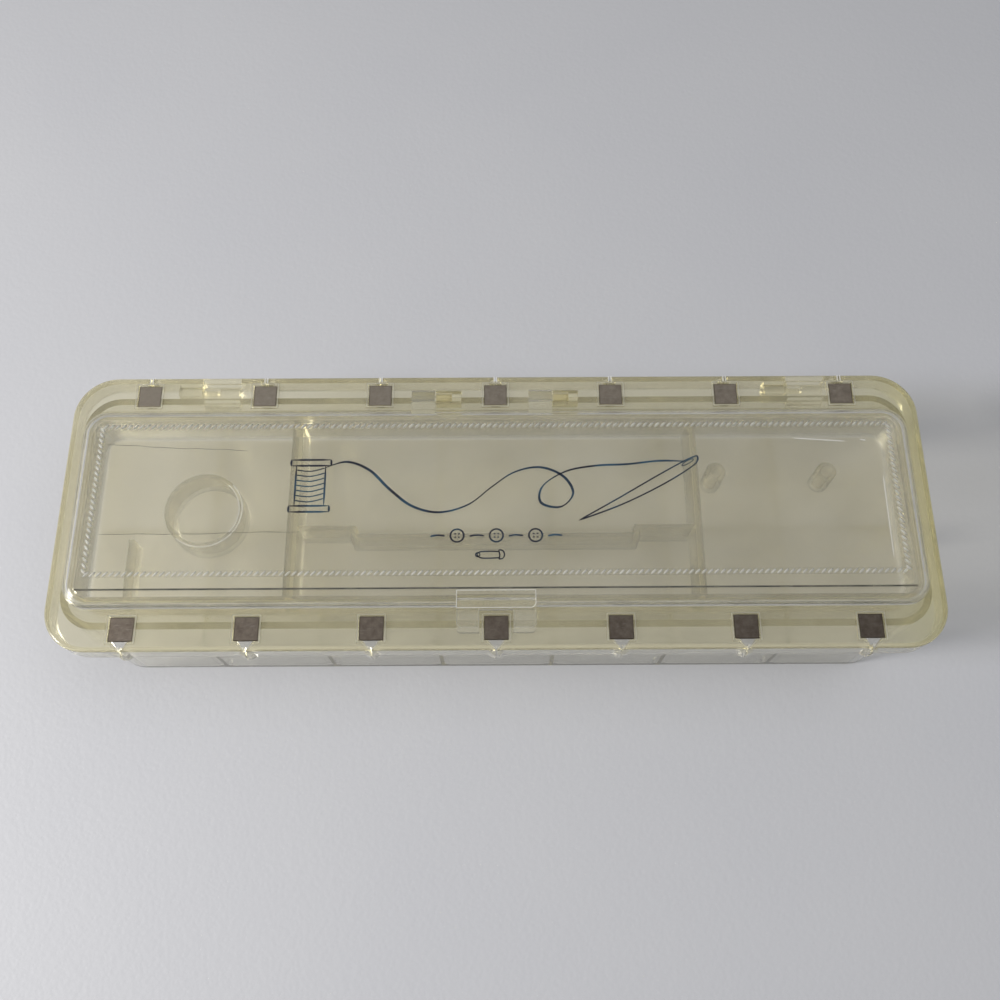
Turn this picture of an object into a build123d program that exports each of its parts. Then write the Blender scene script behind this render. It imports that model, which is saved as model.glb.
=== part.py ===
"""Clear thread spool storage box: a divided spool base, a hinged accessory tray
with a wide rim that carries a thread cutter for every spool, and a hinged lid.

Millimetres. +X runs along the box, +Y to the hinged rear, +Z up. The origin is
on the table under the middle of the box.
"""
import os

from build123d import *

os.makedirs("parts", exist_ok=True)

# ---- spool bays -----------------------------------------------------------
spool_pitch = 42.0
bay_count = 7
bay_width = 40.0
divider_thick = 1.5
divider_height = 34.0
pilaster_width = 5.0
pilaster_depth = 1.2

# ---- base -----------------------------------------------------------------
wall = 2.4
floor_thick = 2.0
base_top = 60.4
base_radius = 12.5
base_edge_round = 1.4
thread_exit_width = 3.2
thread_exit_depth = 3.4

# ---- rim of the tray ------------------------------------------------------
flange_overhang_end = 4.35
flange_overhang_side = 7.85
flange_radius = 15.0
flange_thick = 2.0
flange_edge_round = 0.9
skirt_height = 8.5
skirt_wall = 1.8
seat_gap = 0.1

# ---- tray -----------------------------------------------------------------
tray_end_gap = 0.75
thread_gap = 6.25
tray_radius = 5.0
tray_wall = 1.8
tray_depth = 15.5
tray_floor_thick = 1.8
tray_floor_round = 1.2
rib_drop = 2.0
coaming_wall = 1.5
coaming_height = 2.0
partition_left_inset = 72.5
partition_left_foot = 4.6
partition_right_inset = 72.9
partition_right_foot = 3.4
partition_draft = 0.5
trough_wall = 1.8
trough_width = 21.4
trough_jog = 3.0
trough_jog_inset = 21.5
ring_inset = 40.7
ring_radius = 13.8
ring_wall = 1.6
ring_drop = 3.5
post_insets = (25.5, 65.1)
post_y = 13.8
post_radius = 3.5
post_bore_radius = 2.1
end_rib_inset = 15.7
end_rib_length = 22.9
end_rib_drop = 6.0

# ---- thread cutters -------------------------------------------------------
cutter_row_inset = 7.5
plate_size = 8.2
plate_thick = 0.6
plate_clearance = 0.2
plate_bevel = 0.25
pocket_depth = 0.7
pocket_rim_wall = 0.8
pocket_rim_height = 0.4
plate_overhang = 0.3
notch_mouth = 6.2
notch_apex_inset = 0.1
slit_width = 0.6
boss_radius = 3.1
boss_proud = 1.2
boss_drop = 3.0

# ---- lid ------------------------------------------------------------------
lid_gap = 0.5
lid_wall = 1.8
lid_rise = 5.0
lid_shoulder = 3.8
panel_inset_end = 6.1
panel_inset_side = 5.6
panel_rise = 0.7
rope_inset = 1.3
rope_inset_front = 4.0
rope_width = 2.0
rope_height = 0.3

# ---- finger tab of the lid ------------------------------------------------
tab_half_x = 13.4
tab_reach = 7.5
tab_step_reach = 1.5
tab_gap = 0.4
tab_thick = 2.0
tab_corner = 1.6
tab_notch_clearance = 0.7
grip_count = 5
grip_pitch = 2.6
grip_width = 1.0
grip_length = 4.0
grip_height = 0.35

# ---- hinges ---------------------------------------------------------------
pin_radius = 1.2
pin_clearance = 0.05
pin_length = 5.0
bore_depth = 5.8
knuckle_radius = 2.6
knuckle_gap = 0.4
arm_width = 8.4
arm_inset = 3.9
lid_axis_reach = 4.5
lid_axis_rise = 2.75
lid_joint_shift = -0.5
lid_block_width = 9.0
heel_side = 2.1
tray_axis_reach = 3.7
tray_axis_drop = 4.3
tray_joint_shift = 2.3
tray_block_width = 13.0
tray_block_rise = 1.8
window_margin = 0.6
window_rise = 3.2

# ---- sizes that follow from the ones above --------------------------------
rows = [("front", -1), ("rear", 1)]
bay_centres_x = [(i - (bay_count - 1) / 2) * spool_pitch for i in range(bay_count)]
divider_centres_x = [x + spool_pitch / 2 for x in bay_centres_x[:-1]]
inner_half_x = (bay_count * spool_pitch - divider_thick) / 2
inner_half_y = bay_width + divider_thick / 2
base_half_x = inner_half_x + wall
base_half_y = inner_half_y + wall
flange_half_x = base_half_x + flange_overhang_end
flange_half_y = base_half_y + flange_overhang_side
flange_under = base_top + seat_gap
flange_top = flange_under + flange_thick
skirt_bottom = flange_top - skirt_height
tray_half_x = inner_half_x - tray_end_gap - tray_wall
tray_half_y = inner_half_y - thread_gap - tray_wall
tray_floor_top = flange_top - tray_depth
tray_floor_under = tray_floor_top - tray_floor_thick
tray_rib_top = flange_top - rib_drop
ring_top = flange_top - ring_drop
divider_top = floor_thick + divider_height
partition_left_x = partition_left_inset - tray_half_x
partition_right_x = tray_half_x - partition_right_inset
trough_wall_y = trough_width + trough_wall / 2 - tray_half_y
trough_left_x = partition_left_x + trough_jog_inset
trough_right_x = partition_right_x - trough_jog_inset
ring_x = ring_inset - tray_half_x
post_places = [(tray_half_x - inset, post_y) for inset in post_insets]
end_rib_x = end_rib_inset - tray_half_x
cutter_row_y = flange_half_y - cutter_row_inset
pocket_half = plate_size / 2 + plate_clearance
pocket_floor = flange_top - pocket_depth
rim_half = pocket_half + pocket_rim_wall
rim_top = flange_top + pocket_rim_height
notch_apex_y = flange_half_y - notch_apex_inset
boss_y = flange_half_y + boss_proud - boss_radius
lid_offset = coaming_wall + lid_gap + lid_wall
lid_half_x = tray_half_x + lid_offset
lid_half_y = tray_half_y + lid_offset
lid_radius = tray_radius + lid_offset
lid_bottom = flange_top + seat_gap
lid_top = flange_top + lid_rise
panel_half_x = lid_half_x - panel_inset_end
panel_half_y = lid_half_y - panel_inset_side
panel_top = lid_top + panel_rise
tab_bottom = flange_top + tab_gap
tab_top = tab_bottom + tab_thick
tab_step_y = -lid_half_y - tab_step_reach
tab_front_y = -lid_half_y - tab_reach
lid_axis_y = lid_half_y + lid_axis_reach
lid_axis_z = flange_top + lid_axis_rise
lid_joints_x = [divider_centres_x[i] + lid_joint_shift for i in (2, -3)]
tray_axis_y = base_half_y + tray_axis_reach
tray_axis_z = flange_under - tray_axis_drop
tray_joints_x = [divider_centres_x[0] - tray_joint_shift, divider_centres_x[-1] + tray_joint_shift]


def block(x0, x1, y0, y1, z0, z1, mode=Mode.ADD):
    """Add or cut a box given by its two corners."""
    with Locations(((x0 + x1) / 2, (y0 + y1) / 2, (z0 + z1) / 2)):
        Box(x1 - x0, y1 - y0, z1 - z0, mode=mode)


def rounded_slab(half_x, half_y, radius, z0, z1, mode=Mode.ADD):
    """Add or cut an upright slab with rounded corners, centred on the origin."""
    with BuildSketch(Plane.XY.offset(z0)) as outline:
        RectangleRounded(2 * half_x, 2 * half_y, radius)
    extrude(outline.sketch, amount=z1 - z0, mode=mode)


def cylinder_along_x(x0, x1, y, z, radius, mode=Mode.ADD):
    """Add or cut a round bar lying along X."""
    with BuildSketch(Plane.YZ.offset(x0)) as disc:
        with Locations((y, z)):
            Circle(radius)
    extrude(disc.sketch, amount=x1 - x0, mode=mode)


def hinge_pin(joint_x, y, z):
    """Stub pin that stands out to the right of a hinge arm."""
    cylinder_along_x(joint_x - knuckle_gap / 2, joint_x + pin_length, y, z, pin_radius)


def hinge_bore(joint_x, y, z):
    """Blind bore in a hinge block, a running fit on the stub pin."""
    start_x = joint_x - knuckle_gap
    end_x = joint_x + bore_depth
    cylinder_along_x(start_x, end_x, y, z, pin_radius + pin_clearance, mode=Mode.SUBTRACT)


def drafted_wall(x, foot, y0, y1, z0, z1, draft):
    """Upright wall across the tray, thinner at the top than at the foot."""
    with BuildSketch(Plane.XZ.offset(-y1)) as section:
        with BuildLine():
            Polyline(
                (x - foot / 2, z0),
                (x + foot / 2, z0),
                (x + foot / 2 - draft, z1),
                (x - foot / 2 + draft, z1),
                close=True,
            )
        make_face()
    extrude(section.sketch, amount=y1 - y0)


# ---- base box: open bays for the spools -----------------------------------
with BuildPart() as base_box:
    rounded_slab(base_half_x, base_half_y, base_radius, 0, base_top)
    bottom_edges = base_box.edges().group_by(Axis.Z)[0]
    fillet(bottom_edges, radius=base_edge_round)
    inner_radius = base_radius - wall
    rounded_slab(inner_half_x, inner_half_y, inner_radius, floor_thick, base_top + 1, Mode.SUBTRACT)
    # Spine and dividers, rooted half way into the floor and the walls.
    root_z = floor_thick / 2
    spine_y = divider_thick / 2
    reach_x = inner_half_x + wall / 2
    reach_y = inner_half_y + wall / 2
    block(-reach_x, reach_x, -spine_y, spine_y, root_z, divider_top)
    for divider_x in divider_centres_x:
        left = divider_x - divider_thick / 2
        right = divider_x + divider_thick / 2
        block(left, right, -reach_y, reach_y, root_z, divider_top)
        # A pilaster stiffens each end of a divider.
        left = divider_x - pilaster_width / 2
        right = divider_x + pilaster_width / 2
        block(left, right, inner_half_y - pilaster_depth, reach_y, root_z, divider_top)
        block(left, right, -reach_y, pilaster_depth - inner_half_y, root_z, divider_top)
    # Thread exits in the top edge of both long walls.
    exit_bottom = base_top - thread_exit_depth
    for bay_x in bay_centres_x:
        left = bay_x - thread_exit_width / 2
        right = bay_x + thread_exit_width / 2
        across = base_half_y + 1
        block(left, right, -across, across, exit_bottom, base_top + 1, Mode.SUBTRACT)
    # Hinge blocks on the rear wall.
    for joint_x in tray_joints_x:
        start = joint_x + knuckle_gap / 2
        end = start + tray_block_width
        cylinder_along_x(start, end, tray_axis_y, tray_axis_z, knuckle_radius)
        low = tray_axis_z - knuckle_radius
        high = tray_axis_z + tray_block_rise
        block(start, end, base_half_y - wall / 2, tray_axis_y, low, high)
        hinge_bore(joint_x, tray_axis_y, tray_axis_z)
base_box.part.label = "base_box"
export_step(base_box.part, "parts/base_box.step")

# ---- tray frame: accessory tray, rim, skirt and cutter pockets --------------
with BuildPart() as tray_frame:
    # Rim plate with a rounded outer edge, and the skirt below it.
    rounded_slab(flange_half_x, flange_half_y, flange_radius, skirt_bottom, flange_top)
    top_edges = tray_frame.edges().group_by(Axis.Z)[-1]
    fillet(top_edges, radius=flange_edge_round)
    # Half-round thread guides on the outside of the skirt.
    for row, side in rows:
        with BuildSketch(Plane.XY.offset(skirt_bottom)):
            with Locations([(x, side * boss_y) for x in bay_centres_x]):
                Circle(boss_radius)
        extrude(amount=skirt_height - boss_drop)
    inside_x = flange_half_x - skirt_wall
    inside_y = flange_half_y - skirt_wall
    inside_radius = flange_radius - skirt_wall
    rounded_slab(inside_x, inside_y, inside_radius, skirt_bottom - 1, flange_under, Mode.SUBTRACT)
    # Tray walls hanging from the rim, and the coaming that the lid drops over.
    outer_x = tray_half_x + tray_wall
    outer_y = tray_half_y + tray_wall
    rounded_slab(outer_x, outer_y, tray_radius + tray_wall, tray_floor_under, flange_top)
    coaming_x = tray_half_x + coaming_wall
    coaming_y = tray_half_y + coaming_wall
    coaming_top = flange_top + coaming_height
    rounded_slab(coaming_x, coaming_y, tray_radius + coaming_wall, flange_under, coaming_top)
    above = coaming_top + 1
    with BuildPart(mode=Mode.PRIVATE) as tray_hollow:
        rounded_slab(tray_half_x, tray_half_y, tray_radius, tray_floor_top, above)
        fillet(tray_hollow.edges().group_by(Axis.Z)[0], radius=tray_floor_round)
    add(tray_hollow.part, mode=Mode.SUBTRACT)
    # Partitions right across the tray.
    reach_y = tray_half_y + tray_wall / 2
    root_z = tray_floor_top - tray_floor_thick / 2
    partitions = [(partition_left_x, partition_left_foot), (partition_right_x, partition_right_foot)]
    for partition_x, foot in partitions:
        drafted_wall(partition_x, foot, -reach_y, reach_y, root_z, tray_rib_top, partition_draft)
    # Stepped wall between the middle compartment and the long trough.
    low_y = trough_wall_y - trough_wall / 2
    high_y = trough_wall_y + trough_wall / 2
    block(trough_left_x, trough_right_x, low_y, high_y, root_z, tray_rib_top)
    for start_x, end_x in [(partition_left_x, trough_left_x), (trough_right_x, partition_right_x)]:
        block(start_x, end_x, low_y + trough_jog, high_y + trough_jog, root_z, tray_rib_top)
    for jog_x in (trough_left_x, trough_right_x):
        left = jog_x - trough_wall / 2
        right = jog_x + trough_wall / 2
        block(left, right, low_y, high_y + trough_jog, root_z, tray_rib_top)
    # Short rib at the left end.
    left = end_rib_x - trough_wall / 2
    right = end_rib_x + trough_wall / 2
    block(left, right, -reach_y, end_rib_length - tray_half_y, root_z, flange_top - end_rib_drop)
    # Round well, and the two hollow posts for bobbins.
    with BuildSketch(Plane.XY.offset(root_z)):
        with Locations((ring_x, 0)):
            Circle(ring_radius)
            Circle(ring_radius - ring_wall, mode=Mode.SUBTRACT)
    extrude(amount=ring_top - root_z)
    with BuildSketch(Plane.XY.offset(root_z)):
        with Locations(post_places):
            Circle(post_radius)
    extrude(amount=ring_top - root_z)
    with BuildSketch(Plane.XY.offset(tray_floor_top)):
        with Locations(post_places):
            Circle(post_bore_radius)
    extrude(amount=ring_top - tray_floor_top + 1, mode=Mode.SUBTRACT)
    # Cutter pockets with a raised rim. A slit in the skirt holds the thread, and the
    # front row also has a V notch between the pocket and the edge.
    for row, side in rows:
        row_y = side * cutter_row_y
        centres = [(x, row_y) for x in bay_centres_x]
        with BuildSketch(Plane.XY.offset(flange_top)):
            with Locations(centres):
                Rectangle(2 * rim_half, 2 * rim_half)
        extrude(amount=pocket_rim_height)
        with BuildSketch(Plane.XY.offset(pocket_floor)):
            with Locations(centres):
                Rectangle(2 * pocket_half, 2 * pocket_half)
        extrude(amount=rim_top - pocket_floor, mode=Mode.SUBTRACT)
        mouth_y = side * (cutter_row_y + plate_size / 2 - plate_overhang)
        apex_y = side * notch_apex_y
        near_y = side * (inside_y - 0.2)
        far_y = side * (flange_half_y + boss_proud + 1)
        low_y = min(near_y, far_y)
        high_y = max(near_y, far_y)
        for x in bay_centres_x:
            left = x - slit_width / 2
            right = x + slit_width / 2
            block(left, right, low_y, high_y, skirt_bottom - 1, flange_top + 1, Mode.SUBTRACT)
            if row == "rear":
                continue
            with BuildSketch(Plane.XY.offset(flange_under)):
                with BuildLine():
                    Polyline(
                        (x - notch_mouth / 2, mouth_y),
                        (x + notch_mouth / 2, mouth_y),
                        (right, apex_y),
                        (left, apex_y),
                        close=True,
                    )
                make_face()
            extrude(amount=rim_top - flange_under, mode=Mode.SUBTRACT)
    # Lid hinge blocks on the rim.
    for joint_x in lid_joints_x:
        start = joint_x + knuckle_gap / 2
        end = start + lid_block_width
        cylinder_along_x(start, end, lid_axis_y, lid_axis_z, knuckle_radius)
        near = lid_axis_y - knuckle_radius
        far = lid_axis_y + knuckle_radius
        block(start, end, near, far, flange_top - flange_thick / 2, lid_axis_z)
        hinge_bore(joint_x, lid_axis_y, lid_axis_z)
    # Skirt windows for the base's hinge blocks, and the arms that meet them.
    near = tray_axis_y - knuckle_radius
    far = tray_axis_y + knuckle_radius
    window_far = flange_half_y + boss_proud + 1
    window_top = tray_axis_z + window_rise
    for joint_x in tray_joints_x:
        start = joint_x + knuckle_gap / 2 - window_margin
        end = joint_x + knuckle_gap / 2 + tray_block_width + window_margin
        block(start, end, inside_y - 1, window_far, skirt_bottom - 1, window_top, Mode.SUBTRACT)
        arm_start = joint_x - knuckle_gap / 2 - arm_width
        arm_end = joint_x - knuckle_gap / 2
        cylinder_along_x(arm_start, arm_end, tray_axis_y, tray_axis_z, knuckle_radius)
        block(arm_start, arm_end, near, far, tray_axis_z, flange_under + flange_thick / 2)
        hinge_pin(joint_x, tray_axis_y, tray_axis_z)
tray_frame.part.label = "tray_frame"
export_step(tray_frame.part, "parts/tray_frame.step")

# ---- lid: rounded plateau, raised panel, finger tab and hinge arms ----------
with BuildPart() as lid:
    rounded_slab(lid_half_x, lid_half_y, lid_radius, lid_bottom, lid_top)
    fillet(lid.edges().group_by(Axis.Z)[-1], radius=lid_shoulder)
    # Finger tab: a square step at lid height, then a thin plate on each side of
    # the middle cutter.
    block(-tab_half_x, tab_half_x, tab_step_y, -panel_half_y, tab_bottom, lid_top)
    with BuildSketch(Plane.XY.offset(tab_bottom)):
        with Locations((0, (tab_front_y + tab_step_y) / 2)):
            RectangleRounded(2 * tab_half_x, tab_step_y - tab_front_y + 2 * tab_corner, tab_corner)
    extrude(amount=tab_thick)
    notch_half = rim_half + tab_notch_clearance
    notch_front = tab_front_y - 2 * tab_corner
    notch_rear = notch_half - cutter_row_y
    low = tab_bottom - 1
    high = tab_top + 1
    block(-notch_half, notch_half, notch_front, notch_rear, low, high, Mode.SUBTRACT)
    # Hinge arms that reach back from the plateau.
    for joint_x in lid_joints_x:
        start = joint_x - knuckle_gap / 2 - arm_width
        end = joint_x - knuckle_gap / 2
        arm_low = lid_axis_z - heel_side
        block(start, end, lid_half_y - arm_inset, lid_axis_y, arm_low, lid_top)
        cylinder_along_x(start, end, lid_axis_y, lid_axis_z, knuckle_radius)
        # Heel that meets the rim and stops the lid when it is open.
        block(start, end, lid_axis_y, lid_axis_y + heel_side, lid_axis_z, lid_axis_z + heel_side)
        hinge_pin(joint_x, lid_axis_y, lid_axis_z)
    # Hollow underside.
    with BuildPart(mode=Mode.PRIVATE) as lid_hollow:
        rounded_slab(
            lid_half_x - lid_wall,
            lid_half_y - lid_wall,
            lid_radius - lid_wall,
            lid_bottom - 1,
            lid_top - lid_wall,
        )
        fillet(lid_hollow.edges().group_by(Axis.Z)[-1], radius=lid_shoulder - lid_wall)
    add(lid_hollow.part, mode=Mode.SUBTRACT)
    # Raised panel with sharp corners, and the bead that runs round it.
    panel_root = lid_top - lid_wall / 2
    block(-panel_half_x, panel_half_x, -panel_half_y, panel_half_y, panel_root, panel_top)
    bead_half_x = panel_half_x - rope_inset
    bead_rear = panel_half_y - rope_inset
    bead_front = rope_inset_front - panel_half_y
    bead_y = (bead_front + bead_rear) / 2
    bead_half_y = (bead_rear - bead_front) / 2
    with BuildSketch(Plane.XY.offset(panel_top)):
        with Locations((0, bead_y)):
            Rectangle(2 * bead_half_x, 2 * bead_half_y)
            inside_half_x = bead_half_x - rope_width
            inside_half_y = bead_half_y - rope_width
            Rectangle(2 * inside_half_x, 2 * inside_half_y, mode=Mode.SUBTRACT)
    extrude(amount=rope_height)
    # Grip ridges on the tab.
    grip_y = (tab_step_y - panel_half_y) / 2
    low_y = grip_y - grip_length / 2
    high_y = grip_y + grip_length / 2
    for i in range(grip_count):
        x = (i - (grip_count - 1) / 2) * grip_pitch
        left = x - grip_width / 2
        right = x + grip_width / 2
        block(left, right, low_y, high_y, lid_top - lid_wall / 2, lid_top + grip_height)
lid.part.label = "lid"
export_step(lid.part, "parts/lid.step")

# ---- thread cutters: a square steel plate in every pocket -------------------
for row, side in rows:
    for number, x in enumerate(bay_centres_x, start=1):
        with BuildPart() as thread_cutter:
            with BuildSketch(Plane.XY.offset(pocket_floor)):
                with Locations((x, side * cutter_row_y)):
                    Rectangle(plate_size, plate_size)
            extrude(amount=plate_thick)
            top = thread_cutter.edges().group_by(Axis.Z)[-1]
            outer_edge = top.sort_by(Axis.Y)[0 if side < 0 else -1]
            chamfer(outer_edge, length=plate_bevel)
        thread_cutter.part.label = f"thread_cutter_{row}_{number}"
        export_step(thread_cutter.part, f"parts/thread_cutter_{row}_{number}.step")

print("OK")
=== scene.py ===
import math

import bmesh
import bpy
from mathutils import Matrix, Vector


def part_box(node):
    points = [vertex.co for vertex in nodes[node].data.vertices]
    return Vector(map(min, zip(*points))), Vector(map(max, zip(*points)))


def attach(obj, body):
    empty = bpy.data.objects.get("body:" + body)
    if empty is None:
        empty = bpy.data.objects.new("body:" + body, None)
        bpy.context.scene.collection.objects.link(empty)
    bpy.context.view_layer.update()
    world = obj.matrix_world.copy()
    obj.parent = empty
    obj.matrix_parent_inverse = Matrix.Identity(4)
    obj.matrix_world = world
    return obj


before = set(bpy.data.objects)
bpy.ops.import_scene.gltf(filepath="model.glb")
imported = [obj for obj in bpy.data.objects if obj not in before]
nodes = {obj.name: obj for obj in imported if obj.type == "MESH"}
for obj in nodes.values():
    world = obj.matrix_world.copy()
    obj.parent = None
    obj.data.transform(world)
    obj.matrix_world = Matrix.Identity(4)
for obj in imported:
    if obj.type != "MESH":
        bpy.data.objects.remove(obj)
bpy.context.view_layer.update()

MM = 0.001
scene = bpy.context.scene


def box_mm(node):
    """Lowest and highest corner of a node at rest, in millimetres."""
    low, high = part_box(node)
    return low / MM, high / MM


# ---- lid, its raised panel and its finger tab, in millimetres -----------------
lid_low, lid_high = box_mm("lid")
tab_reach = 7.5
tab_corner = 1.6
tab_step_reach = 1.5
tab_half_x = 13.4
lid_half_x = lid_high.x
lid_half_y = -lid_low.y - tab_corner - tab_reach
panel_inset_end = 6.1
panel_inset_side = 5.6
panel_half_x = lid_half_x - panel_inset_end
panel_half_y = lid_half_y - panel_inset_side
bead_top = lid_high.z
bead_height = 0.3
panel_top = bead_top - bead_height
panel_rise = 0.7
plateau_top = panel_top - panel_rise
rope_inset = 1.3
rope_inset_front = 4.0
rope_width = 2.0
rope_pitch = 2.13

# ---- rim of the tray and its cutter plates, in millimetres --------------------
plate_low, plate_high = box_mm("thread_cutter_front_1")
next_plate_low = box_mm("thread_cutter_front_2")[0]
cutter_pitch = next_plate_low.x - plate_low.x
cutter_row_y = -(plate_low.y + plate_high.y) / 2
plate_half = (plate_high.x - plate_low.x) / 2
plate_clearance = 0.2
pocket_rim_wall = 0.8
pocket_rim_height = 0.4
pocket_rim_middle = plate_half + plate_clearance + pocket_rim_wall / 2
rim_low = box_mm("tray_frame")[0]
guide_proud = 1.2
rim_edge_y = -rim_low.y - guide_proud
seat_gap = 0.1
flange_top = lid_low.z - seat_gap
flange_edge_round = 0.9
skirt_top = flange_top - flange_edge_round
skirt_height = 8.5
skirt_bottom = flange_top - skirt_height
pocket_rim_top = flange_top + pocket_rim_height
notch_half_mouth = 3.1
slit_half = 0.3
tab_gap = 0.4
tab_thick = 2.0
tab_top = flange_top + tab_gap + tab_thick
tab_notch_clearance = 0.7
tab_notch_half = plate_half + plate_clearance + pocket_rim_wall + tab_notch_clearance
tab_notch_rear_y = tab_notch_half - cutter_row_y

# ---- well of the tray, in millimetres -----------------------------------------
lid_overhang = 3.8
tray_half_x = lid_half_x - lid_overhang
tray_half_y = lid_half_y - lid_overhang
tray_depth = 15.5
tray_floor_top = flange_top - tray_depth
tray_frosted_top = tray_floor_top - 1.0
ring_inset = 40.7
ring_x = ring_inset - tray_half_x
ring_radius = 13.8
ring_wall = 1.6
ring_drop = 3.5
ring_top = flange_top - ring_drop

# ---- raised trim: how deep it is rooted and how high it stands, in millimetres --
trim_root = 0.02
print_height = 0.05
edge_height = 0.03
fine_line_height = 0.012

polystyrene_ior = 1.58


# ---- node helpers -------------------------------------------------------------
class Nodes:
    """A short way to add linked nodes to a node tree."""

    def __init__(self, tree):
        self.tree = tree

    def add(self, kind, inputs=None, **settings):
        """Adds a node; an input is a number, a colour or another node's output."""
        node = self.tree.nodes.new(kind)
        for key, value in settings.items():
            setattr(node, key, value)
        for key, value in (inputs or {}).items():
            if isinstance(value, bpy.types.NodeSocket):
                self.tree.links.new(value, node.inputs[key])
            else:
                node.inputs[key].default_value = value
        return node

    def math(self, operation, *values):
        """The result of a Math node on up to three values."""
        return self.add("ShaderNodeMath", dict(enumerate(values)), operation=operation).outputs[0]

    def ramp(self, value, low, high, first=0.0, last=1.0):
        """Maps low..high to first..last and holds the ends."""
        inputs = {0: value, 1: low, 2: high, 3: first, 4: last}
        return self.add("ShaderNodeMapRange", inputs).outputs[0]

    def mix_colour(self, share, first, second):
        """From the first colour to the second as the share goes from 0 to 1."""
        inputs = {0: share, 6: first, 7: second}
        return self.add("ShaderNodeMix", inputs, data_type="RGBA").outputs[2]


class Look(Nodes):
    """The nodes of one new material, which read where they are on the object."""

    def __init__(self, name):
        self.material = bpy.data.materials.new(name)
        self.material.use_nodes = True
        super().__init__(self.material.node_tree)
        self.tree.nodes.clear()
        self.output = self.add("ShaderNodeOutputMaterial")
        self.place = self.add("ShaderNodeTexCoord").outputs["Object"]

    def place_xyz(self):
        """X, Y and Z of the point that is shaded, in metres."""
        return self.add("ShaderNodeSeparateXYZ", {"Vector": self.place}).outputs

    def noise(self, scale, detail=2.0, roughness=0.5, stretch=(1, 1, 1), offset=(0, 0, 0)):
        """Noise from 0 to 1, mostly near 0.5; scale is in waves per metre."""
        moved = {"Vector": self.place, "Scale": stretch, "Location": offset}
        inputs = {
            "Vector": self.add("ShaderNodeMapping", moved).outputs[0],
            "Scale": scale,
            "Detail": detail,
            "Roughness": roughness,
        }
        return self.add("ShaderNodeTexNoise", inputs).outputs["Fac"]

    def bump(self, height, distance):
        """A normal tilted by a height from 0 to 1, which stands for a distance in metres."""
        return self.add("ShaderNodeBump", {"Height": height, "Distance": distance}).outputs[0]

    def finished(self, surface):
        """The material, with this shader on its surface."""
        self.tree.links.new(surface.outputs[0], self.output.inputs["Surface"])
        return self.material


# ---- materials ----------------------------------------------------------------
def tray_finish(look, roughness, rim_tint):
    """Tint, roughness and share seen straight through, each by the place on the tray.

    The well is scuffed inside, frosted below and thin at its partitions. The rim is
    yellower, most of all at its right end, and the skirt is clear.
    """
    well_tint = (0.925, 0.885, 0.745, 1)
    skirt_tint = (0.965, 0.955, 0.925, 1)
    right_end_tint = (0.86, 0.80, 0.43, 1)
    right_end_from, right_end_to = 125 * MM, 150 * MM
    scuffed_roughness = 0.24
    frosted_roughness = 0.34
    partition_share = 0.5
    place = look.place_xyz()
    across = look.math("DIVIDE", look.math("ABSOLUTE", place["X"]), tray_half_x * MM)
    along = look.math("DIVIDE", look.math("ABSOLUTE", place["Y"]), tray_half_y * MM)
    well = look.ramp(look.math("MAXIMUM", across, along), 1.0, 1.01, 1.0, 0.0)
    skirt_from, skirt_to = (skirt_top - 0.3) * MM, skirt_top * MM
    skirt = look.ramp(place["Z"], skirt_from, skirt_to, 1.0, 0.0)
    right_end = look.ramp(place["X"], right_end_from, right_end_to)
    tint = look.mix_colour(right_end, rim_tint, right_end_tint)
    tint = look.mix_colour(skirt, tint, skirt_tint)
    tint = look.mix_colour(well, tint, well_tint)
    scuffed = look.math("MAXIMUM", roughness, look.math("MULTIPLY", well, scuffed_roughness))
    frosted_from, frosted_to = (tray_frosted_top - 0.2) * MM, tray_frosted_top * MM
    roughness = look.ramp(place["Z"], frosted_from, frosted_to, frosted_roughness, scuffed)
    partition_from, partition_to = (tray_floor_top + 0.1) * MM, (tray_floor_top + 0.4) * MM
    partition = look.ramp(place["Z"], partition_from, partition_to, 0.0, partition_share)
    return tint, roughness, look.math("MULTIPLY", well, partition)


def clear_plastic(name, tint, milk, depth_colour, depth_density, haze, lamp_colour, finish=None):
    """Old clear polystyrene: it bends light, yellows with depth and is lightly scuffed.

    milk is the share that isn't clear, haze the roughness, and lamp_colour what a lamp's
    light keeps as it goes through one surface.
    """
    glancing_colour = (0.02, 0.02, 0.02, 1)
    look = Look(name)
    cloud = look.noise(45, 2, offset=(3.1, 0.7, 1.9))
    roughness = look.ramp(cloud, 0.35, 0.65, haze * 0.7, haze * 1.3)
    see_through = 0.0
    if finish is not None:
        tint, roughness, see_through = finish(look, roughness, tint)
    inputs = {
        "Base Color": tint,
        "Roughness": roughness,
        "IOR": polystyrene_ior,
        "Normal": look.bump(look.noise(30, 1, 0.4), 0.2 * MM),
        "Transmission Weight": look.ramp(cloud, 0.3, 0.7, 1 - milk * 0.7, 1 - milk * 1.3),
    }
    plastic = look.add("ShaderNodeBsdfPrincipled", inputs)
    # Lamp light goes straight through and loses more where it glances off the surface.
    facing = look.add("ShaderNodeLayerWeight", {"Blend": 0.5}).outputs["Facing"]
    passed = look.mix_colour(look.math("POWER", facing, 5.0), lamp_colour, glancing_colour)
    clear = look.add("ShaderNodeBsdfTransparent", {"Color": passed})
    ray = look.add("ShaderNodeLightPath").outputs
    lamp_light = look.math("MAXIMUM", ray["Is Shadow Ray"], ray["Is Diffuse Ray"])
    share = look.math("MAXIMUM", lamp_light, see_through)
    inputs = {0: share, 1: plastic.outputs[0], 2: clear.outputs[0]}
    mixed = look.add("ShaderNodeMixShader", inputs)
    inputs = {"Color": depth_colour, "Density": depth_density}
    depth = look.add("ShaderNodeVolumeAbsorption", inputs)
    look.tree.links.new(depth.outputs[0], look.output.inputs["Volume"])
    return look.finished(mixed)


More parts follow.
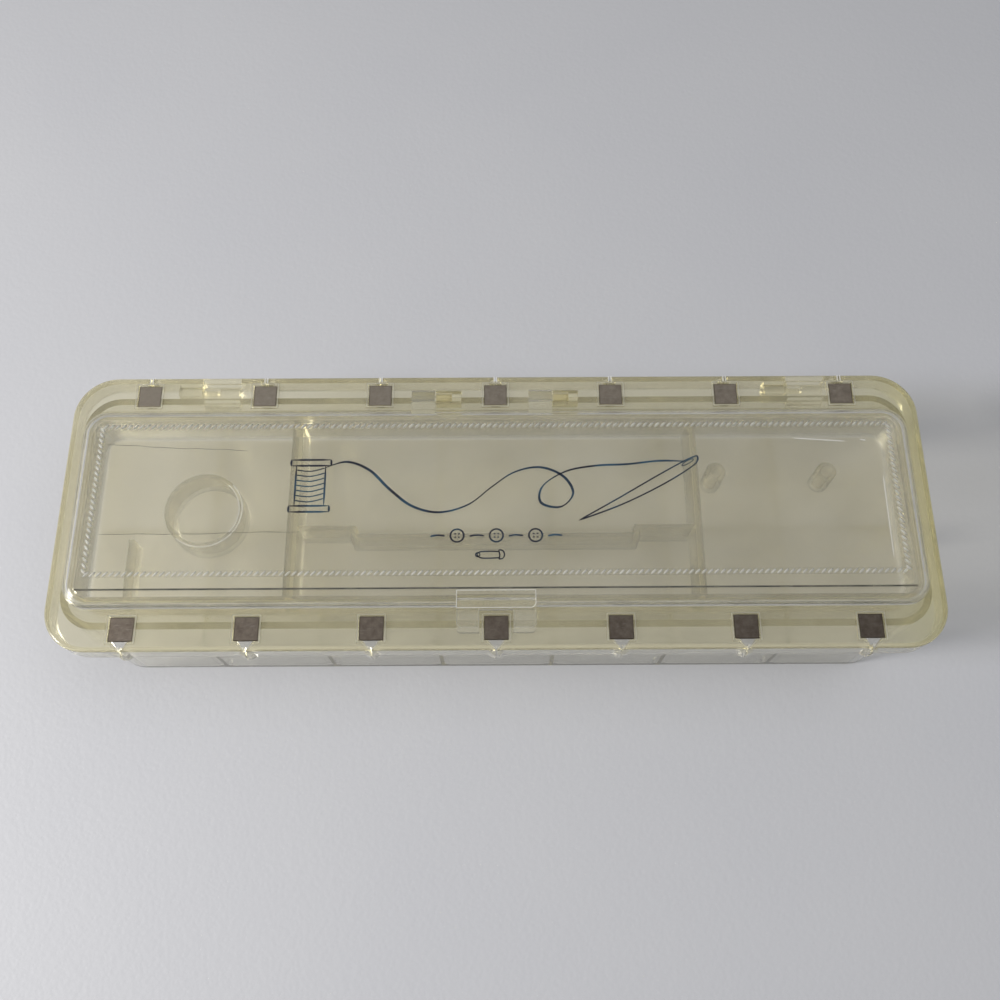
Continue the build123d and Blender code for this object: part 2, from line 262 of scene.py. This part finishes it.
def frosted_plastic(name, colour, clearness):
    """Worn, milky plastic, as on the rope bead, which catches light; it also makes the light strips of
    painted highlights and glints.
    """
    look = Look(name)
    wear_and_painted_highlight = look.noise(400, 3, 0.6)
    inputs = {
        "Base Color": colour,
        "Roughness": look.ramp(wear_and_painted_highlight, 0.35, 0.65, 0.30, 0.48),
        "IOR": polystyrene_ior,
        "Transmission Weight": look.ramp(wear_and_painted_highlight, 0.35, 0.65, clearness - 0.1, clearness + 0.1),
    }
    return look.finished(look.add("ShaderNodeBsdfPrincipled", inputs))


def dull_steel():
    """Aged sheet steel, grey-brown, with stains and fine rubbing marks, darker along each plate's edges,
    and with painted shade and painted reflection across the rows.
    """
    dark_stain, light_stain = (0.18, 0.146, 0.116, 1), (0.31, 0.262, 0.212, 1)
    rubbed_colour = (0.42, 0.38, 0.335, 1)
    painted_shade_colour = (0.045, 0.034, 0.026, 1)
    painted_reflection_colour = (0.49, 0.44, 0.355, 1)
    edge_dark_colour = (0.03, 0.025, 0.02, 1)
    front_painted_shade, rear_painted_reflection = 0.36, -0.40
    left_painted_reflection, right_painted_shade = -0.22, 0.17
    outer_plate_x = 130 * MM
    edge_dark_from, edge_dark_to = 3.9 * MM, 4.3 * MM
    look = Look("cutter_steel_aged")
    stain = look.noise(420, 4, 0.65)
    grain = look.noise(3000, 3, 0.6, stretch=(1, 0.15, 1))
    rub = look.noise(1500, 2, 0.5, stretch=(0.2, 1, 1), offset=(5, 2, 0))
    base = look.mix_colour(look.ramp(stain, 0.35, 0.68), dark_stain, light_stain)
    base = look.mix_colour(look.ramp(rub, 0.62, 0.75, 0, 0.5), base, rubbed_colour)
    # Painted shade and reflection: the front row is painted darker than the rear row and each row darker
    # towards its right, while the rear row and the left plates are painted lighter, as a reflection.
    place = look.place_xyz()
    row_y = cutter_row_y * MM
    by_row = look.ramp(place["Y"], -row_y, row_y, front_painted_shade, rear_painted_reflection)
    by_x = look.ramp(place["X"], -outer_plate_x, outer_plate_x, left_painted_reflection, right_painted_shade)
    painted_shade_and_reflection = look.math("ADD", by_row, by_x)
    base = look.mix_colour(look.ramp(painted_shade_and_reflection, 0.0, 1.0), base, painted_shade_colour)
    base = look.mix_colour(look.ramp(painted_shade_and_reflection, -0.67, 0.0, 0.5, 0.0), base, painted_reflection_colour)
    # Darker along every plate's edges.
    half_pitch = cutter_pitch / 2 * MM
    from_middle_x = look.math("ABSOLUTE", look.math("WRAP", place["X"], half_pitch, -half_pitch))
    from_row = look.math("SUBTRACT", look.math("ABSOLUTE", place["Y"]), row_y)
    from_middle = look.math("MAXIMUM", from_middle_x, look.math("ABSOLUTE", from_row))
    ragged = look.math("ADD", from_middle, look.math("MULTIPLY", stain, 0.4 * MM))
    base = look.mix_colour(look.ramp(ragged, edge_dark_from, edge_dark_to, 0.0, 0.65), base, edge_dark_colour)
    inputs = {
        "Base Color": base,
        "Metallic": 0.85,
        "Roughness": look.ramp(stain, 0.3, 0.7, 0.52, 0.38),
        "Normal": look.bump(grain, 0.02 * MM),
    }
    return look.finished(look.add("ShaderNodeBsdfPrincipled", inputs))


def stamped_foil():
    """Dark foil stamped into the panel, blue-black with a teal cast in places."""
    blue_black, teal = (0.012, 0.014, 0.026, 1), (0.02, 0.065, 0.11, 1)
    worn_colour = (0.16, 0.17, 0.17, 1)
    look = Look("print_foil_dark")
    cast = look.noise(90, 2, 0.5, offset=(1.3, 4.0, 0.2))
    wear = look.noise(1600, 3, 0.6)
    base = look.mix_colour(look.ramp(cast, 0.45, 0.62), blue_black, teal)
    base = look.mix_colour(look.ramp(wear, 0.60, 0.72, 0, 0.6), base, worn_colour)
    inputs = {"Base Color": base, "Roughness": 0.28, "Normal": look.bump(wear, 0.03 * MM)}
    return look.finished(look.add("ShaderNodeBsdfPrincipled", inputs))


def table_top():
    """Pale grey laminate with a fine leather grain."""
    darker, lighter = (0.585, 0.588, 0.612, 1), (0.60, 0.602, 0.622, 1)
    look = Look("table_laminate")
    inputs = {"Vector": look.place, "Scale": 620.0}
    cell = look.add("ShaderNodeTexVoronoi", inputs, feature="SMOOTH_F1")
    grain = look.math("ADD", cell.outputs["Distance"], look.noise(260, 3, 0.55))
    base = look.mix_colour(look.ramp(look.noise(9, 3), 0.35, 0.65), darker, lighter)
    inputs = {"Base Color": base, "Roughness": 0.55, "Normal": look.bump(grain, 0.06 * MM)}
    return look.finished(look.add("ShaderNodeBsdfPrincipled", inputs))


def dark_line(name, faintest, strongest):
    """A fine dark line in clear plastic, broken here and there; the shares are what it covers."""
    black, grey = (0.035, 0.035, 0.03, 1), (0.13, 0.125, 0.105, 1)
    look = Look(name)
    broken = look.noise(160, 3, 0.6)
    tone = look.mix_colour(look.ramp(broken, 0.4, 0.6), black, grey)
    dark = look.add("ShaderNodeBsdfPrincipled", {"Base Color": tone, "Roughness": 0.3})
    clear = look.add("ShaderNodeBsdfTransparent")
    cover = look.ramp(broken, 0.42, 0.66, strongest, faintest)
    inputs = {0: cover, 1: clear.outputs[0], 2: dark.outputs[0]}
    return look.finished(look.add("ShaderNodeMixShader", inputs))


# ---- mesh helpers ---------------------------------------------------------------
def finish_piece(name, bm, material, body):
    """Makes a piece of a finished mesh, and lets it ride on a body."""
    mesh = bpy.data.meshes.new(name)
    bm.to_mesh(mesh)
    bm.free()
    piece = bpy.data.objects.new(name, mesh)
    scene.collection.objects.link(piece)
    mesh.materials.append(material)
    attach(piece, body)


def join_rings(bm, rings):
    """Sides between rings of four points, and a face at each end."""
    for first, second in zip(rings, rings[1:]):
        for k in range(4):
            after = (k + 1) % 4
            bm.faces.new((first[k], first[after], second[after], second[k]))
    bm.faces.new(rings[0][::-1])
    bm.faces.new(rings[-1])


def smooth_line(points, steps=8):
    """Points of a smooth curve through the given ones."""
    line = []
    count = len(points)
    for i in range(count - 1):
        before = Vector(points[max(i - 1, 0)])
        start = Vector(points[i])
        end = Vector(points[i + 1])
        after = Vector(points[min(i + 2, count - 1)])
        slope = end - before
        bend = 2 * before - 5 * start + 4 * end - after
        twist = 3 * start - before - 3 * end + after
        for k in range(steps):
            t = k / steps
            line.append(start + 0.5 * (slope * t + bend * t ** 2 + twist * t ** 3))
    line.append(Vector(points[-1]))
    return line


def straight(x0, y0, x1, y1, steps=4):
    """Points along a straight line."""
    return [Vector((x0, y0)).lerp(Vector((x1, y1)), i / steps) for i in range(steps + 1)]


def arc_line(x, y, radius_x, radius_y, steps=28, start=0.0, sweep=2 * math.pi):
    """Points along a circle or an ellipse, or a part of one."""
    angles = [start + sweep * i / steps for i in range(steps + 1)]
    return [Vector((x + radius_x * math.cos(a), y + radius_y * math.sin(a))) for a in angles]


def ribbon(bm, line, pen, height=print_height, taper=True):
    """A flat raised stroke along a line on the panel, as a broad pen draws it.

    pen holds the width along the pen's slant and the width across it.
    """
    thin, thick = pen
    pen_slant = math.radians(40)
    end_share, end_growth = 0.35, 14
    rings = []
    last = len(line) - 1
    for i, point in enumerate(line):
        ahead = (line[min(i + 1, last)] - line[max(i - 1, 0)]).normalized()
        side = Vector((-ahead.y, ahead.x))
        width = thin + (thick - thin) * abs(math.sin(math.atan2(ahead.y, ahead.x) - pen_slant))
        if taper:
            from_end = min(i, last - i) / last
            width *= min(1.0, end_share + from_end * end_growth)
        left = point + side * (width / 2)
        right = point - side * (width / 2)
        low = panel_top - trim_root
        high = panel_top + height
        ring = [(*left, low), (*left, high), (*right, high), (*right, low)]
        rings.append([bm.verts.new(Vector(corner) * MM) for corner in ring])
    join_rings(bm, rings)


def strip(bm, start, end, normal, width):
    """A flat bar on a surface, from start to end, in millimetres."""
    start, end, normal = Vector(start), Vector(end), Vector(normal)
    side = (end - start).cross(normal).normalized() * (width / 2)
    lift = normal * edge_height
    foot = normal * -trim_root
    rings = []
    for point in (start, end):
        ring = [point + side + foot, point + side + lift, point - side + lift, point - side + foot]
        rings.append([bm.verts.new(corner * MM) for corner in ring])
    join_rings(bm, rings)


def strips_on_level(bm, points, z, width):
    """Bars from point to point on a level surface."""
    for start, end in zip(points, points[1:]):
        strip(bm, (*start, z), (*end, z), (0, 0, 1), width)


# ---- rope bead ------------------------------------------------------------------
def rope_places():
    """Centre and direction of every strand along the bead, counter-clockwise from above."""
    half_x = panel_half_x - rope_inset - rope_width / 2
    rear = panel_half_y - rope_inset - rope_width / 2
    front = rope_inset_front + rope_width / 2 - panel_half_y
    corners = [(-half_x, front), (half_x, front), (half_x, rear), (-half_x, rear), (-half_x, front)]
    places = []
    for start, end in zip(corners, corners[1:]):
        start = Vector(start)
        run = Vector(end) - start
        count = round(run.length / rope_pitch)
        for k in range(count):
            places.append((start + run * ((k + 0.5) / count), run.normalized()))
    return places


def rope_strands(material):
    """A twisted bead: one slanted grain of plastic after another."""
    half_length, half_width, half_height = 1.32, 0.47, 0.31
    mean_height, uneven_height = 0.14, 0.03
    slant = math.radians(42)
    grain = bmesh.new()
    bmesh.ops.create_uvsphere(grain, u_segments=8, v_segments=6, radius=1.0)
    corners = [v.co.copy() for v in grain.verts]
    sides = [[v.index for v in face.verts] for face in grain.faces]
    grain.free()
    bm = bmesh.new()
    half_sizes = (half_length * MM, half_width * MM, half_height * MM, 1)
    for index, (centre, along) in enumerate(rope_places()):
        heading = math.atan2(along.y, along.x) + slant
        height = mean_height + uneven_height * math.sin(index * 2.4)
        place = Vector((*centre, panel_top + height)) * MM
        turn = Matrix.Translation(place) @ Matrix.Rotation(heading, 4, "Z")
        shape = turn @ Matrix.Diagonal(half_sizes)
        points = [bm.verts.new(shape @ corner) for corner in corners]
        for side in sides:
            bm.faces.new([points[k] for k in side]).smooth = True
    finish_piece("rope_strands", bm, material, "lid")


# ---- print on the panel -----------------------------------------------------------
def outlined_box(bm, left, right, low, high, pen):
    """Four strokes round a rectangle."""
    for y in (low, high):
        ribbon(bm, straight(left, y, right, y), pen)
    for x in (left, right):
        ribbon(bm, straight(x, low, x, high), pen)


def spool_picture(bm):
    """A spool seen from the side, wound with thread."""
    flange_pen = (0.5, 0.8)
    core_pen = (0.5, 0.7)
    winding_pen = (0.35, 0.5)
    flange_left, flange_right = -71.5, -57.5
    core_left, core_right = -69.6, -59.4
    core_low, core_high = -1.6, 13.4
    flange_height = 2.2
    outlined_box(bm, flange_left, flange_right, core_high, core_high + flange_height, flange_pen)
    outlined_box(bm, flange_left, flange_right, core_low - flange_height, core_low, flange_pen)
    for x in (core_left, core_right):
        ribbon(bm, straight(x, core_low, x, core_high), core_pen)
    for k in range(7):
        y = core_low + 2.0 + k * 1.9
        winding = [(core_left + 0.2, y), (-64.5, y - 0.5), (core_right - 0.2, y + 0.7)]
        ribbon(bm, smooth_line(winding), winding_pen)


def sewing_picture(bm):
    """A spool of thread whose end winds in loops to the eye of a needle."""
    thread_pen = (0.4, 0.95)
    needle_pen = (0.45, 0.7)
    eye_pen = (0.25, 0.4)
    spool_picture(bm)
    thread = [
        (-59.6, 12.6), (-52, 14.8), (-44, 11.6), (-37, 4.6), (-29, -1.8), (-19.5, -4.2), (-9.5, -1.4),
        (-1.5, 5.0), (6.5, 10.6), (15.5, 12.4), (23.5, 9.0), (26.8, 2.6), (22.4, -2.4), (15.6, -0.8),
        (16.4, 5.4), (24.5, 10.8), (35.0, 12.9), (46.0, 13.4), (57.0, 14.6), (66.6, 14.4),
    ]
    ribbon(bm, smooth_line(thread), thread_pen)
    head, point = (70.8, 16.6), (28.5, -7.4)
    upper_side = [head, (66.2, 14.6), (56.0, 8.8), (42.0, 0.4), point]
    lower_side = [head, (69.6, 13.2), (58.6, 6.0), (43.6, -1.6), point]
    for side in (upper_side, lower_side):
        ribbon(bm, smooth_line(side), needle_pen)
    turn = Matrix.Rotation(math.radians(30), 2)
    middle = Vector((67.2, 14.0))
    eye = [turn @ corner + middle for corner in arc_line(0, 0, 2.4, 0.55, steps=20)]
    ribbon(bm, eye, eye_pen, taper=False)


def stitch_row(bm):
    """Running stitches with small four-holed buttons between them."""
    row_y = -12.7
    pitch = 13.4
    first_stitch, first_button = -22.4, -13.25
    stitch_pen = (0.62, 0.62)
    button_pen = (0.55, 0.6)
    button_radius = 2.3
    hole_pen = (0.5, 0.5)
    hole_offset = 0.62
    hole_half = 0.28
    for k in range(4):
        x = first_stitch + k * pitch
        stitch = [(x, row_y - 0.25), (x + 2.4, row_y + 0.15), (x + 4.9, row_y - 0.1)]
        ribbon(bm, smooth_line(stitch), stitch_pen)
    for k in range(3):
        x = first_button + k * pitch
        ribbon(bm, arc_line(x, row_y, button_radius, button_radius), button_pen, taper=False)
        for hole_y in (row_y - hole_offset, row_y + hole_offset):
            for hole_x in (x - hole_offset, x + hole_offset):
                hole = straight(hole_x - hole_half, hole_y, hole_x + hole_half, hole_y, steps=2)
                ribbon(bm, hole, hole_pen, taper=False)


def small_pin(bm):
    """A closed safety pin."""
    wire_pen = (0.4, 0.5)
    coil_pen = (0.35, 0.4)
    coil_radius = 0.75
    y = -19.7
    bend = (-6.6, y + 0.2)
    upper_wire = [(1.2, y + 1.15), (-2.0, y + 1.3), (-5.4, y + 1.1), bend]
    lower_wire = [(1.2, y - 1.0), (-2.0, y - 1.15), (-5.2, y - 1.0), bend]
    for wire in (upper_wire, lower_wire):
        ribbon(bm, smooth_line(wire), wire_pen)
    coil = arc_line(-6.2, y + 0.1, coil_radius, coil_radius, steps=16)
    ribbon(bm, coil, coil_pen, taper=False)
    cap_end = (1.0, y - 1.5)
    cap = [cap_end, (2.3, y - 1.2), (2.9, y), (2.4, y + 1.4), (1.0, y + 1.7), (1.3, y), cap_end]
    ribbon(bm, smooth_line(cap, steps=4), wire_pen, taper=False)


def printed_picture(name, drawing, material):
    """One printed drawing, as a piece."""
    bm = bmesh.new()
    drawing(bm)
    finish_piece(name, bm, material, "lid")


# ---- wear, painted glints and painted shade on the panel --------------------------
def hairlines(material):
    """Two long fine cracks in the left part of the panel."""
    crack_pen = (0.14, 0.16)
    long_wave, short_wave = 0.16, 0.07
    steps = 60
    bm = bmesh.new()
    cracks = [((-137.7, 21.8), (-87.1, 19.2), 0.3), ((-135.8, -11.8), (-66.6, -11.1), 0.7)]
    for start, end, phase in cracks:
        line = straight(*start, *end, steps)
        for k, point in enumerate(line):
            t = k / steps
            point.y += long_wave * math.sin(9 * t + phase) + short_wave * math.sin(31 * t + 2 * phase)
        ribbon(bm, line, crack_pen, fine_line_height)
    finish_piece("panel_hairlines", bm, material, "lid")


def panel_painted_glints(material):
    """Painted glints, as a few light strips, at the right end of the panel."""
    bm = bmesh.new()
    scratches = [
        ((105.1, 23.1), (123.3, 21.8), 0.4),
        ((128.6, 22.5), (130.6, 22.1), 0.45),
        ((135.0, 8.8), (134.7, -21.2), 0.32),
    ]
    for start, end, width in scratches:
        ribbon(bm, straight(*start, *end, steps=12), (width, width), fine_line_height)
    finish_piece("panel_painted_glint_strips", bm, material, "lid")


def panel_foot_painted_shade(material):
    """A broken dark line of painted shade in the sharp corner at the foot of the raised panel."""
    spread = 0.2
    bm = bmesh.new()
    x = panel_half_x + spread
    y = panel_half_y + spread
    front = [(-x, -y), (x, -y)]
    left = [(-x, -y), (-x, 22.0)]
    right = [(x, 24.0), (x, -9.0)]
    for run, width in ((front, 0.46), (left, 0.34), (right, 0.38)):
        strips_on_level(bm, run, plateau_top, width)
    finish_piece("panel_foot_painted_shade", bm, material, "lid")


# ---- painted highlights along edges -----------------------------------------------
def cutter_middles():
    """Middle of each cutter plate."""
    middles = []
    for name in nodes:
        if name.startswith("thread_cutter"):
            low, high = box_mm(name)
            middles.append(((low.x + high.x) / 2, (low.y + high.y) / 2))
    return middles


def rim_edge_painted_highlights(material):
    """Painted highlights, as light strips along the edges of the cutter pockets, of the V notches and of
    the skirt's slits.
    """
    width, slit_width = 0.2, 0.22
    inset = 0.1
    slit_low, slit_high = skirt_bottom + 0.4, flange_top - 1.0
    bm = bmesh.new()
    for x, y in cutter_middles():
        outward = 1 if y > 0 else -1
        left, right = x - pocket_rim_middle, x + pocket_rim_middle
        inner_y = y - outward * pocket_rim_middle
        outer_y = y + outward * pocket_rim_middle
        edge_y = outward * rim_edge_y
        pocket = [(left, outer_y), (left, inner_y), (right, inner_y), (right, outer_y)]
        strips_on_level(bm, pocket, pocket_rim_top, width)
        if outward > 0:
            strips_on_level(bm, [pocket[0], pocket[-1]], pocket_rim_top, width)
        for side in (-1, 1):
            slit_x = x + side * slit_half
            if outward < 0:
                notch = [(x + side * notch_half_mouth, outer_y), (slit_x, edge_y + inset)]
                strips_on_level(bm, notch, flange_top, width)
            edge_x = slit_x + side * inset
            strip(bm, (edge_x, edge_y, slit_low), (edge_x, edge_y, slit_high), (0, outward, 0), slit_width)
    finish_piece("rim_edge_painted_highlights", bm, material, "tray")


def slit_painted_glints(material):
    """Painted glints, as light strips along the edges of the rear slits."""
    width = 0.36
    inset = 0.1
    bm = bmesh.new()
    for x, y in cutter_middles():
        if y > 0:
            for side in (-1, 1):
                slit_x = x + side * (slit_half + width / 2)
                run = [(slit_x, y + pocket_rim_middle), (slit_x, rim_edge_y - inset)]
                strips_on_level(bm, run, flange_top, width)
    finish_piece("slit_painted_glints", bm, material, "tray")


def tab_edge_painted_highlights(material):
    """Painted highlights, as light strips along the sides of the finger tab and of its notch, and across
    its front.
    """
    width = 0.2
    bevel = 1.2
    rear_y = -lid_half_y - tab_step_reach
    front_y = -lid_half_y - tab_reach
    bm = bmesh.new()
    for side in (-1, 1):
        edge_x = side * (tab_half_x - width / 2)
        notch_x = side * (tab_notch_half + width / 2)
        outline = [
            (edge_x, rear_y),
            (edge_x, front_y + bevel),
            (edge_x - side * bevel, front_y + width / 2),
            (notch_x, front_y + width / 2),
            (notch_x, tab_notch_rear_y),
        ]
        strips_on_level(bm, outline, tab_top, width)
    finish_piece("tab_edge_painted_highlights", bm, material, "lid")


def step_edge_painted_highlights(material):
    """Painted highlights, as light strips along the edges of the finger tab's upper step, rounder at its
    right front corner.
    """
    width = 0.24
    bm = bmesh.new()
    x = tab_half_x - width / 2
    front_y = width / 2 - lid_half_y - tab_step_reach
    rear_y = -panel_half_y - 0.9
    rounded_highlight_corner = [(x - 1.4, front_y), (x - 0.5, front_y + 0.5), (x, front_y + 1.4)]
    outline = [(-x, rear_y), (-x, front_y), *rounded_highlight_corner, (x, rear_y), (-x, rear_y)]
    strips_on_level(bm, outline, plateau_top, width)
    finish_piece("step_edge_painted_highlights", bm, material, "lid")


def ring_painted_glints(material):
    """Painted glints, as light arcs, on the top of the ring in the tray."""
    width = 0.4
    inset = 0.25
    outer_radius = ring_radius - inset
    inner_radius = ring_radius - ring_wall + inset
    bm = bmesh.new()
    for radius, first, last in ((outer_radius, -130, 45), (inner_radius, -40, 50)):
        start, sweep = math.radians(first), math.radians(last - first)
        arc = arc_line(ring_x, 0, radius, radius, steps=16, start=start, sweep=sweep)
        strips_on_level(bm, arc, ring_top, width)
    finish_piece("ring_painted_glints", bm, material, "tray")


# ---- camera, lamps and table ------------------------------------------------------
def make_camera():
    """A camera in front of the box and above it, looking down at about 69 degrees."""
    place = Vector((1.111, -131.796, bead_top + 343.81)) * MM
    right = Vector((0.999986, -0.005206, -0.000972))
    up = Vector((0.005209, 0.933599, 0.358156))
    back = right.cross(up)
    camera = bpy.data.objects.new("camera", bpy.data.cameras.new("camera"))
    camera.data.lens = 38.41
    camera.data.sensor_width = 36.0
    camera.data.clip_start = 0.01
    turn = Matrix((right, up, back)).transposed().to_4x4()
    camera.matrix_world = Matrix.Translation(place) @ turn
    scene.collection.objects.link(camera)
    scene.camera = camera


def area_lamp(name, place, width, height, power, colour):
    """A rectangular lamp that faces the origin, in metres and watts."""
    data = bpy.data.lights.new(name, "AREA")
    data.shape = "RECTANGLE"
    data.size = width
    data.size_y = height
    data.energy = power
    data.color = colour
    lamp = bpy.data.objects.new(name, data)
    lamp.location = place
    lamp.rotation_euler = (-Vector(place)).to_track_quat("-Z", "Y").to_euler()
    scene.collection.objects.link(lamp)
    return lamp


def make_world():
    """Pale surroundings, brighter to the eye and in reflections than as a lamp."""
    lamp_strength, seen_strength = 0.205, 0.5
    world = bpy.data.worlds.new("room")
    world.use_nodes = True
    surroundings = Nodes(world.node_tree)
    ray = surroundings.add("ShaderNodeLightPath").outputs
    mirrored = surroundings.math("MAXIMUM", ray["Is Glossy Ray"], ray["Is Transmission Ray"])
    seen = surroundings.math("MAXIMUM", mirrored, ray["Is Camera Ray"])
    strength = surroundings.ramp(seen, 0.0, 1.0, lamp_strength, seen_strength)
    background = world.node_tree.nodes["Background"]
    background.inputs["Color"].default_value = (0.78, 0.79, 0.82, 1)
    world.node_tree.links.new(strength, background.inputs["Strength"])
    scene.world = world


def make_room():
    """The table just under the box, a window at the left and a soft ceiling light."""
    bpy.ops.mesh.primitive_plane_add(size=2.6, location=(0, 0, -0.1 * MM))
    table = bpy.context.object
    table.name = "table"
    table.data.materials.append(table_top())
    area_lamp("window", (-0.93, -0.235, 0.722), 0.20, 0.22, 11.0, (1.0, 0.985, 0.97))
    ceiling = area_lamp("ceiling", (0.5, -0.1, 1.6), 1.1, 1.1, 8.8, (0.97, 0.985, 1.0))
    ceiling.visible_glossy = False
    ceiling.visible_transmission = False
    make_world()


# ---- materials of the CAD nodes -----------------------------------------------------
base_plastic = clear_plastic(
    "base_plastic_clear",
    tint=(0.97, 0.965, 0.94, 1),
    milk=0.03,
    depth_colour=(0.84, 0.79, 0.40, 1),
    depth_density=18,
    haze=0.10,
    lamp_colour=(0.968, 0.966, 0.962, 1),
)
tray_plastic = clear_plastic(
    "tray_plastic_clear",
    tint=(0.87, 0.81, 0.56, 1),
    milk=0.09,
    depth_colour=(0.88, 0.80, 0.30, 1),
    depth_density=38,
    haze=0.19,
    lamp_colour=(0.963, 0.96, 0.951, 1),
    finish=tray_finish,
)
lid_plastic = clear_plastic(
    "lid_plastic_clear",
    tint=(0.95, 0.947, 0.925, 1),
    milk=0.05,
    depth_colour=(0.86, 0.80, 0.36, 1),
    depth_density=22,
    haze=0.09,
    lamp_colour=(0.95, 0.948, 0.942, 1),
)
mouldings = {"base_box": base_plastic, "tray_frame": tray_plastic, "lid": lid_plastic}
steel = dull_steel()
for name, node in nodes.items():
    for material_slot in node.material_slots:
        material_slot.material = mouldings.get(name, steel)

# ---- pieces that the CAD nodes don't have ---------------------------------------------
rope_strands(frosted_plastic("rope_bead_frosted", (0.85, 0.83, 0.75, 1), clearness=0.44))
# Painted highlights: light strips along the edges of the cutter pockets, V notches, slits and finger tab.
wear_and_painted_highlight = frosted_plastic("painted_highlight_edge_frosted", (0.78, 0.76, 0.65, 1), clearness=0.60)
rim_edge_painted_highlights(wear_and_painted_highlight)
tab_edge_painted_highlights(wear_and_painted_highlight)
# Brighter painted glints: arcs on the ring, strips along the tab's step and the rear slits, and at the
# panel's right end.
painted_glint = frosted_plastic("painted_glint_frosted", (0.92, 0.91, 0.86, 1), clearness=0.30)
ring_painted_glints(painted_glint)
step_edge_painted_highlights(painted_glint)
slit_painted_glints(painted_glint)
panel_painted_glints(painted_glint)
foil = stamped_foil()
printed_picture("print_thread_and_needle", sewing_picture, foil)
printed_picture("print_stitch_row", stitch_row, foil)
printed_picture("print_small_pin", small_pin, foil)
hairlines(dark_line("hairline_crack", faintest=0.25, strongest=0.85))
# The dark line along the foot of the panel is painted shade.
panel_foot_painted_shade(dark_line("foot_line_painted_shade", faintest=0.6, strongest=1.0))

# ---- scene ----------------------------------------------------------------------------
make_camera()
make_room()
scene.view_settings.view_transform = "Standard"
scene.cycles.max_bounces = 24
scene.cycles.transmission_bounces = 24
scene.cycles.transparent_max_bounces = 64
scene.cycles.glossy_bounces = 8
scene.cycles.diffuse_bounces = 4
scene.cycles.caustics_reflective = False
scene.cycles.caustics_refractive = False
